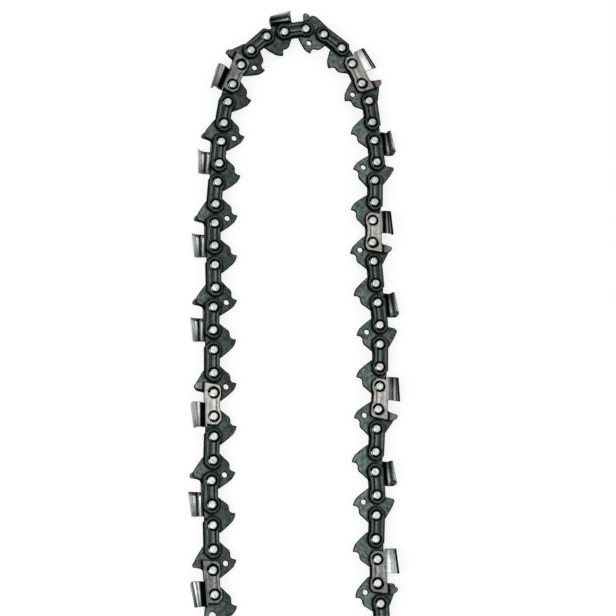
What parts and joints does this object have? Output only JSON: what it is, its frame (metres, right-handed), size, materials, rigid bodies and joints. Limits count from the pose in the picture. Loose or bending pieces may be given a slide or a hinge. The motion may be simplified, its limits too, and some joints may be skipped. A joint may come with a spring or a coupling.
{
  "type": "saw chain",
  "caption": "Stretch of saw chain: drive links with tangs, tie straps, left and right cutters and bumper links, every link turning on a rivet.",
  "frame": {"origin": "middle of the bounding box, on the surface the chain lies on", "axes": "+Y along the two runs towards the turn of the loop, +Z along the rivets"},
  "size_m": [0.0922, 0.2774, 0.0068],
  "materials": {
    "link_blued_steel": "blued, oiled",
    "link_dark_steel": "dark, oiled",
    "link_chromed_steel": "worn chrome"
  },
  "bodies": {
    "link_01_drive": {"link_01_drive": "link_blued_steel"},
    "link_02_right_cutter": {"link_02_right_cutter": "link_chromed_steel"},
    "link_03_guard_drive": {"link_03_guard_drive": "link_blued_steel"},
    "link_04_tie": {"link_04_tie": "link_dark_steel"},
    "link_05_drive": {"link_05_drive": "link_blued_steel"},
    "link_06_left_cutter": {"link_06_left_cutter": "link_chromed_steel"},
    "link_07_guard_drive": {"link_07_guard_drive": "link_blued_steel"},
    "link_08_tie": {"link_08_tie": "link_dark_steel"},
    "link_09_drive": {"link_09_drive": "link_blued_steel"},
    "link_10_right_cutter": {"link_10_right_cutter": "link_chromed_steel"},
    "link_11_guard_drive": {"link_11_guard_drive": "link_blued_steel"},
    "link_12_tie": {"link_12_tie": "link_dark_steel"},
    "link_13_drive": {"link_13_drive": "link_blued_steel"},
    "link_14_left_cutter": {"link_14_left_cutter": "link_chromed_steel"},
    "link_15_guard_drive": {"link_15_guard_drive": "link_blued_steel"},
    "link_16_tie": {"link_16_tie": "link_dark_steel"},
    "link_17_drive": {"link_17_drive": "link_blued_steel"},
    "link_18_left_cutter": {"link_18_left_cutter": "link_chromed_steel"},
    "link_19_guard_drive": {"link_19_guard_drive": "link_blued_steel"},
    "link_20_tie": {"link_20_tie": "link_dark_steel"},
    "link_21_drive": {"link_21_drive": "link_blued_steel"},
    "link_22_left_cutter": {"link_22_left_cutter": "link_chromed_steel"},
    "link_23_guard_drive": {"link_23_guard_drive": "link_blued_steel"},
    "link_24_tie": {"link_24_tie": "link_dark_steel"},
    "link_25_drive": {"link_25_drive": "link_blued_steel"},
    "link_26_right_cutter": {"link_26_right_cutter": "link_chromed_steel"},
    "link_27_guard_drive": {"link_27_guard_drive": "link_blued_steel"},
    "link_28_tie": {"link_28_tie": "link_dark_steel"},
    "link_29_drive": {"link_29_drive": "link_blued_steel"},
    "link_30_left_cutter": {"link_30_left_cutter": "link_chromed_steel"},
    "link_31_guard_drive": {"link_31_guard_drive": "link_blued_steel"},
    "link_32_tie": {"link_32_tie": "link_dark_steel"},
    "link_33_drive": {"link_33_drive": "link_blued_steel"},
    "link_34_right_cutter": {"link_34_right_cutter": "link_chromed_steel"},
    "link_35_guard_drive": {"link_35_guard_drive": "link_blued_steel"},
    "link_36_tie": {"link_36_tie": "link_dark_steel"},
    "link_37_drive": {"link_37_drive": "link_blued_steel"},
    "link_38_left_cutter": {"link_38_left_cutter": "link_chromed_steel"},
    "link_39_guard_drive": {"link_39_guard_drive": "link_blued_steel"},
    "link_40_tie": {"link_40_tie": "link_dark_steel"},
    "link_41_drive": {"link_41_drive": "link_blued_steel"},
    "link_42_right_cutter": {"link_42_right_cutter": "link_chromed_steel"},
    "link_43_guard_drive": {"link_43_guard_drive": "link_blued_steel"},
    "link_44_tie": {"link_44_tie": "link_dark_steel"},
    "link_45_drive": {"link_45_drive": "link_blued_steel"},
    "link_46_left_cutter": {"link_46_left_cutter": "link_chromed_steel"},
    "link_47_guard_drive": {"link_47_guard_drive": "link_blued_steel"},
    "link_48_tie": {"link_48_tie": "link_dark_steel"},
    "link_49_drive": {"link_49_drive": "link_blued_steel"},
    "link_50_right_cutter": {"link_50_right_cutter": "link_chromed_steel"},
    "link_51_guard_drive": {"link_51_guard_drive": "link_blued_steel"},
    "link_52_tie": {"link_52_tie": "link_dark_steel"},
    "link_53_drive": {"link_53_drive": "link_blued_steel"},
    "link_54_left_cutter": {"link_54_left_cutter": "link_chromed_steel"},
    "link_55_guard_drive": {"link_55_guard_drive": "link_blued_steel"},
    "link_56_tie": {"link_56_tie": "link_dark_steel"},
    "link_57_drive": {"link_57_drive": "link_blued_steel"},
    "link_58_right_cutter": {"link_58_right_cutter": "link_chromed_steel"},
    "link_59_guard_drive": {"link_59_guard_drive": "link_blued_steel"},
    "link_60_tie": {"link_60_tie": "link_dark_steel"}
  },
  "joints": [
    {"name": "rivet_01", "type": "hinge", "parent": "link_02_right_cutter", "child": "link_01_drive", "pos_m": [-0.0347, -0.12233, 0.0034], "axis": [0, 0, 1], "range_deg": [-8, 8]},
    {"name": "rivet_02", "type": "hinge", "parent": "link_03_guard_drive", "child": "link_02_right_cutter", "pos_m": [-0.03557, -0.11235, 0.0034], "axis": [0, 0, -1], "range_deg": [-8, 8]},
    {"name": "rivet_03", "type": "hinge", "parent": "link_04_tie", "child": "link_03_guard_drive", "pos_m": [-0.03542, -0.10373, 0.0034], "axis": [0, 0, 1], "range_deg": [-8, 8]},
    {"name": "rivet_04", "type": "hinge", "parent": "link_05_drive", "child": "link_04_tie", "pos_m": [-0.03577, -0.09372, 0.0034], "axis": [0, 0, -1], "range_deg": [-8, 8]},
    {"name": "rivet_05", "type": "hinge", "parent": "link_06_left_cutter", "child": "link_05_drive", "pos_m": [-0.03622, -0.08511, 0.0034], "axis": [0, 0, 1], "range_deg": [-8, 8]},
    {"name": "rivet_06", "type": "hinge", "parent": "link_07_guard_drive", "child": "link_06_left_cutter", "pos_m": [-0.03657, -0.0751, 0.0034], "axis": [0, 0, -1], "range_deg": [-8, 8]},
    {"name": "rivet_07", "type": "hinge", "parent": "link_08_tie", "child": "link_07_guard_drive", "pos_m": [-0.03597, -0.0665, 0.0034], "axis": [0, 0, 1], "range_deg": [-8, 8]},
    {"name": "rivet_08", "type": "hinge", "parent": "link_09_drive", "child": "link_08_tie", "pos_m": [-0.0358, -0.05648, 0.0034], "axis": [0, 0, -1], "range_deg": [-8, 8]},
    {"name": "rivet_09", "type": "hinge", "parent": "link_10_right_cutter", "child": "link_09_drive", "pos_m": [-0.03595, -0.04786, 0.0034], "axis": [0, 0, 1], "range_deg": [-8, 8]},
    {"name": "rivet_10", "type": "hinge", "parent": "link_11_guard_drive", "child": "link_10_right_cutter", "pos_m": [-0.03612, -0.03784, 0.0034], "axis": [0, 0, -1], "range_deg": [-8, 8]},
    {"name": "rivet_11", "type": "hinge", "parent": "link_12_tie", "child": "link_11_guard_drive", "pos_m": [-0.03612, -0.02922, 0.0034], "axis": [0, 0, 1], "range_deg": [-8, 8]},
    {"name": "rivet_12", "type": "hinge", "parent": "link_13_drive", "child": "link_12_tie", "pos_m": [-0.0363, -0.0192, 0.0034], "axis": [0, 0, -1], "range_deg": [-8, 8]},
    {"name": "rivet_13", "type": "hinge", "parent": "link_14_left_cutter", "child": "link_13_drive", "pos_m": [-0.0366, -0.01059, 0.0034], "axis": [0, 0, 1], "range_deg": [-8, 8]},
    {"name": "rivet_14", "type": "hinge", "parent": "link_15_guard_drive", "child": "link_14_left_cutter", "pos_m": [-0.0366, -0.00057, 0.0034], "axis": [0, 0, -1], "range_deg": [-8, 8]},
    {"name": "rivet_15", "type": "hinge", "parent": "link_16_tie", "child": "link_15_guard_drive", "pos_m": [-0.03585, 0.00802, 0.0034], "axis": [0, 0, 1], "range_deg": [-8, 8]},
    {"name": "rivet_16", "type": "hinge", "parent": "link_17_drive", "child": "link_16_tie", "pos_m": [-0.03619, 0.01803, 0.0034], "axis": [0, 0, -1], "range_deg": [-8, 8]},
    {"name": "rivet_17", "type": "hinge", "parent": "link_18_left_cutter", "child": "link_17_drive", "pos_m": [-0.0365, 0.02665, 0.0034], "axis": [0, 0, 1], "range_deg": [-8, 8]},
    {"name": "rivet_18", "type": "hinge", "parent": "link_19_guard_drive", "child": "link_18_left_cutter", "pos_m": [-0.0365, 0.03667, 0.0034], "axis": [0, 0, -1], "range_deg": [-8, 8]},
    {"name": "rivet_19", "type": "hinge", "parent": "link_20_tie", "child": "link_19_guard_drive", "pos_m": [-0.03619, 0.04528, 0.0034], "axis": [0, 0, 1], "range_deg": [-8, 8]},
    {"name": "rivet_20", "type": "hinge", "parent": "link_21_drive", "child": "link_20_tie", "pos_m": [-0.0355, 0.05528, 0.0034], "axis": [0, 0, -1], "range_deg": [-8, 8]},
    {"name": "rivet_21", "type": "hinge", "parent": "link_22_left_cutter", "child": "link_21_drive", "pos_m": [-0.0349, 0.06388, 0.0034], "axis": [0, 0, 1], "range_deg": [-8, 8]},
    {"name": "rivet_22", "type": "hinge", "parent": "link_23_guard_drive", "child": "link_22_left_cutter", "pos_m": [-0.03402, 0.07386, 0.0034], "axis": [0, 0, -1], "range_deg": [-8, 8]},
    {"name": "rivet_23", "type": "hinge", "parent": "link_24_tie", "child": "link_23_guard_drive", "pos_m": [-0.03297, 0.08242, 0.0034], "axis": [0, 0, 1], "range_deg": [-8, 8]},
    {"name": "rivet_24", "type": "hinge", "parent": "link_25_drive", "child": "link_24_tie", "pos_m": [-0.0314, 0.09231, 0.0034], "axis": [0, 0, -1], "range_deg": [-8, 8]},
    {"name": "rivet_25", "type": "hinge", "parent": "link_26_right_cutter", "child": "link_25_drive", "pos_m": [-0.02932, 0.10068, 0.0034], "axis": [0, 0, 1], "range_deg": [-8, 8]},
    {"name": "rivet_26", "type": "hinge", "parent": "link_27_guard_drive", "child": "link_26_right_cutter", "pos_m": [-0.02557, 0.10997, 0.0034], "axis": [0, 0, -1], "range_deg": [-8, 8]},
    {"name": "rivet_27", "type": "hinge", "parent": "link_28_tie", "child": "link_27_guard_drive", "pos_m": [-0.02113, 0.11736, 0.0034], "axis": [0, 0, 1], "range_deg": [-8, 8]},
    {"name": "rivet_28", "type": "hinge", "parent": "link_29_drive", "child": "link_28_tie", "pos_m": [-0.01404, 0.12444, 0.0034], "axis": [0, 0, -1], "range_deg": [-8, 8]},
    {"name": "rivet_29", "type": "hinge", "parent": "link_29_drive", "child": "link_30_left_cutter", "pos_m": [-0.00594, 0.12739, 0.0034], "axis": [0, 0, -1], "range_deg": [-8, 8]},
    {"name": "rivet_30", "type": "hinge", "parent": "link_30_left_cutter", "child": "link_31_guard_drive", "pos_m": [0.00382, 0.12964, 0.0034], "axis": [0, 0, 1], "range_deg": [-8, 8]},
    {"name": "rivet_31", "type": "hinge", "parent": "link_31_guard_drive", "child": "link_32_tie", "pos_m": [0.01222, 0.1277, 0.0034], "axis": [0, 0, -1], "range_deg": [-8, 8]},
    {"name": "rivet_32", "type": "hinge", "parent": "link_32_tie", "child": "link_33_drive", "pos_m": [0.02043, 0.12196, 0.0034], "axis": [0, 0, 1], "range_deg": [-8, 8]},
    {"name": "rivet_33", "type": "hinge", "parent": "link_33_drive", "child": "link_34_right_cutter", "pos_m": [0.02525, 0.11481, 0.0034], "axis": [0, 0, -1], "range_deg": [-8, 8]},
    {"name": "rivet_34", "type": "hinge", "parent": "link_34_right_cutter", "child": "link_35_guard_drive", "pos_m": [0.02964, 0.1058, 0.0034], "axis": [0, 0, 1], "range_deg": [-8, 8]},
    {"name": "rivet_35", "type": "hinge", "parent": "link_35_guard_drive", "child": "link_36_tie", "pos_m": [0.03301, 0.09787, 0.0034], "axis": [0, 0, -1], "range_deg": [-8, 8]},
    {"name": "rivet_36", "type": "hinge", "parent": "link_36_tie", "child": "link_37_drive", "pos_m": [0.03441, 0.08795, 0.0034], "axis": [0, 0, 1], "range_deg": [-8, 8]},
    {"name": "rivet_37", "type": "hinge", "parent": "link_37_drive", "child": "link_38_left_cutter", "pos_m": [0.03531, 0.07937, 0.0034], "axis": [0, 0, -1], "range_deg": [-8, 8]},
    {"name": "rivet_38", "type": "hinge", "parent": "link_38_left_cutter", "child": "link_39_guard_drive", "pos_m": [0.03635, 0.06941, 0.0034], "axis": [0, 0, 1], "range_deg": [-8, 8]},
    {"name": "rivet_39", "type": "hinge", "parent": "link_39_guard_drive", "child": "link_40_tie", "pos_m": [0.0353, 0.06085, 0.0034], "axis": [0, 0, -1], "range_deg": [-8, 8]},
    {"name": "rivet_40", "type": "hinge", "parent": "link_40_tie", "child": "link_41_drive", "pos_m": [0.03513, 0.05083, 0.0034], "axis": [0, 0, 1], "range_deg": [-8, 8]},
    {"name": "rivet_41", "type": "hinge", "parent": "link_41_drive", "child": "link_42_right_cutter", "pos_m": [0.03423, 0.04226, 0.0034], "axis": [0, 0, -1], "range_deg": [-8, 8]},
    {"name": "rivet_42", "type": "hinge", "parent": "link_42_right_cutter", "child": "link_43_guard_drive", "pos_m": [0.03405, 0.03224, 0.0034], "axis": [0, 0, 1], "range_deg": [-8, 8]},
    {"name": "rivet_43", "type": "hinge", "parent": "link_43_guard_drive", "child": "link_44_tie", "pos_m": [0.0345, 0.02363, 0.0034], "axis": [0, 0, -1], "range_deg": [-8, 8]},
    {"name": "rivet_44", "type": "hinge", "parent": "link_44_tie", "child": "link_45_drive", "pos_m": [0.03538, 0.01365, 0.0034], "axis": [0, 0, 1], "range_deg": [-8, 8]},
    {"name": "rivet_45", "type": "hinge", "parent": "link_45_drive", "child": "link_46_left_cutter", "pos_m": [0.03613, 0.00507, 0.0034], "axis": [0, 0, -1], "range_deg": [-8, 8]},
    {"name": "rivet_46", "type": "hinge", "parent": "link_46_left_cutter", "child": "link_47_guard_drive", "pos_m": [0.037, -0.00492, 0.0034], "axis": [0, 0, 1], "range_deg": [-8, 8]},
    {"name": "rivet_47", "type": "hinge", "parent": "link_47_guard_drive", "child": "link_48_tie", "pos_m": [0.037, -0.01354, 0.0034], "axis": [0, 0, -1], "range_deg": [-8, 8]},
    {"name": "rivet_48", "type": "hinge", "parent": "link_48_tie", "child": "link_49_drive", "pos_m": [0.03683, -0.02355, 0.0034], "axis": [0, 0, 1], "range_deg": [-8, 8]},
    {"name": "rivet_49", "type": "hinge", "parent": "link_49_drive", "child": "link_50_right_cutter", "pos_m": [0.03668, -0.03217, 0.0034], "axis": [0, 0, -1], "range_deg": [-8, 8]},
    {"name": "rivet_50", "type": "hinge", "parent": "link_50_right_cutter", "child": "link_51_guard_drive", "pos_m": [0.03598, -0.04217, 0.0034], "axis": [0, 0, 1], "range_deg": [-8, 8]},
    {"name": "rivet_51", "type": "hinge", "parent": "link_51_guard_drive", "child": "link_52_tie", "pos_m": [0.03523, -0.05076, 0.0034], "axis": [0, 0, -1], "range_deg": [-8, 8]},
    {"name": "rivet_52", "type": "hinge", "parent": "link_52_tie", "child": "link_53_drive", "pos_m": [0.0347, -0.06076, 0.0034], "axis": [0, 0, 1], "range_deg": [-8, 8]},
    {"name": "rivet_53", "type": "hinge", "parent": "link_53_drive", "child": "link_54_left_cutter", "pos_m": [0.0344, -0.06938, 0.0034], "axis": [0, 0, -1], "range_deg": [-8, 8]},
    {"name": "rivet_54", "type": "hinge", "parent": "link_54_left_cutter", "child": "link_55_guard_drive", "pos_m": [0.0351, -0.07937, 0.0034], "axis": [0, 0, 1], "range_deg": [-8, 8]},
    {"name": "rivet_55", "type": "hinge", "parent": "link_55_guard_drive", "child": "link_56_tie", "pos_m": [0.0348, -0.08799, 0.0034], "axis": [0, 0, -1], "range_deg": [-8, 8]},
    {"name": "rivet_56", "type": "hinge", "parent": "link_56_tie", "child": "link_57_drive", "pos_m": [0.03445, -0.098, 0.0034], "axis": [0, 0, 1], "range_deg": [-8, 8]},
    {"name": "rivet_57", "type": "hinge", "parent": "link_57_drive", "child": "link_58_right_cutter", "pos_m": [0.03505, -0.1066, 0.0034], "axis": [0, 0, -1], "range_deg": [-8, 8]},
    {"name": "rivet_58", "type": "hinge", "parent": "link_58_right_cutter", "child": "link_59_guard_drive", "pos_m": [0.03505, -0.11662, 0.0034], "axis": [0, 0, 1], "range_deg": [-8, 8]},
    {"name": "rivet_59", "type": "hinge", "parent": "link_59_guard_drive", "child": "link_60_tie", "pos_m": [0.03625, -0.12516, 0.0034], "axis": [0, 0, -1], "range_deg": [-8, 8]}
  ]
}
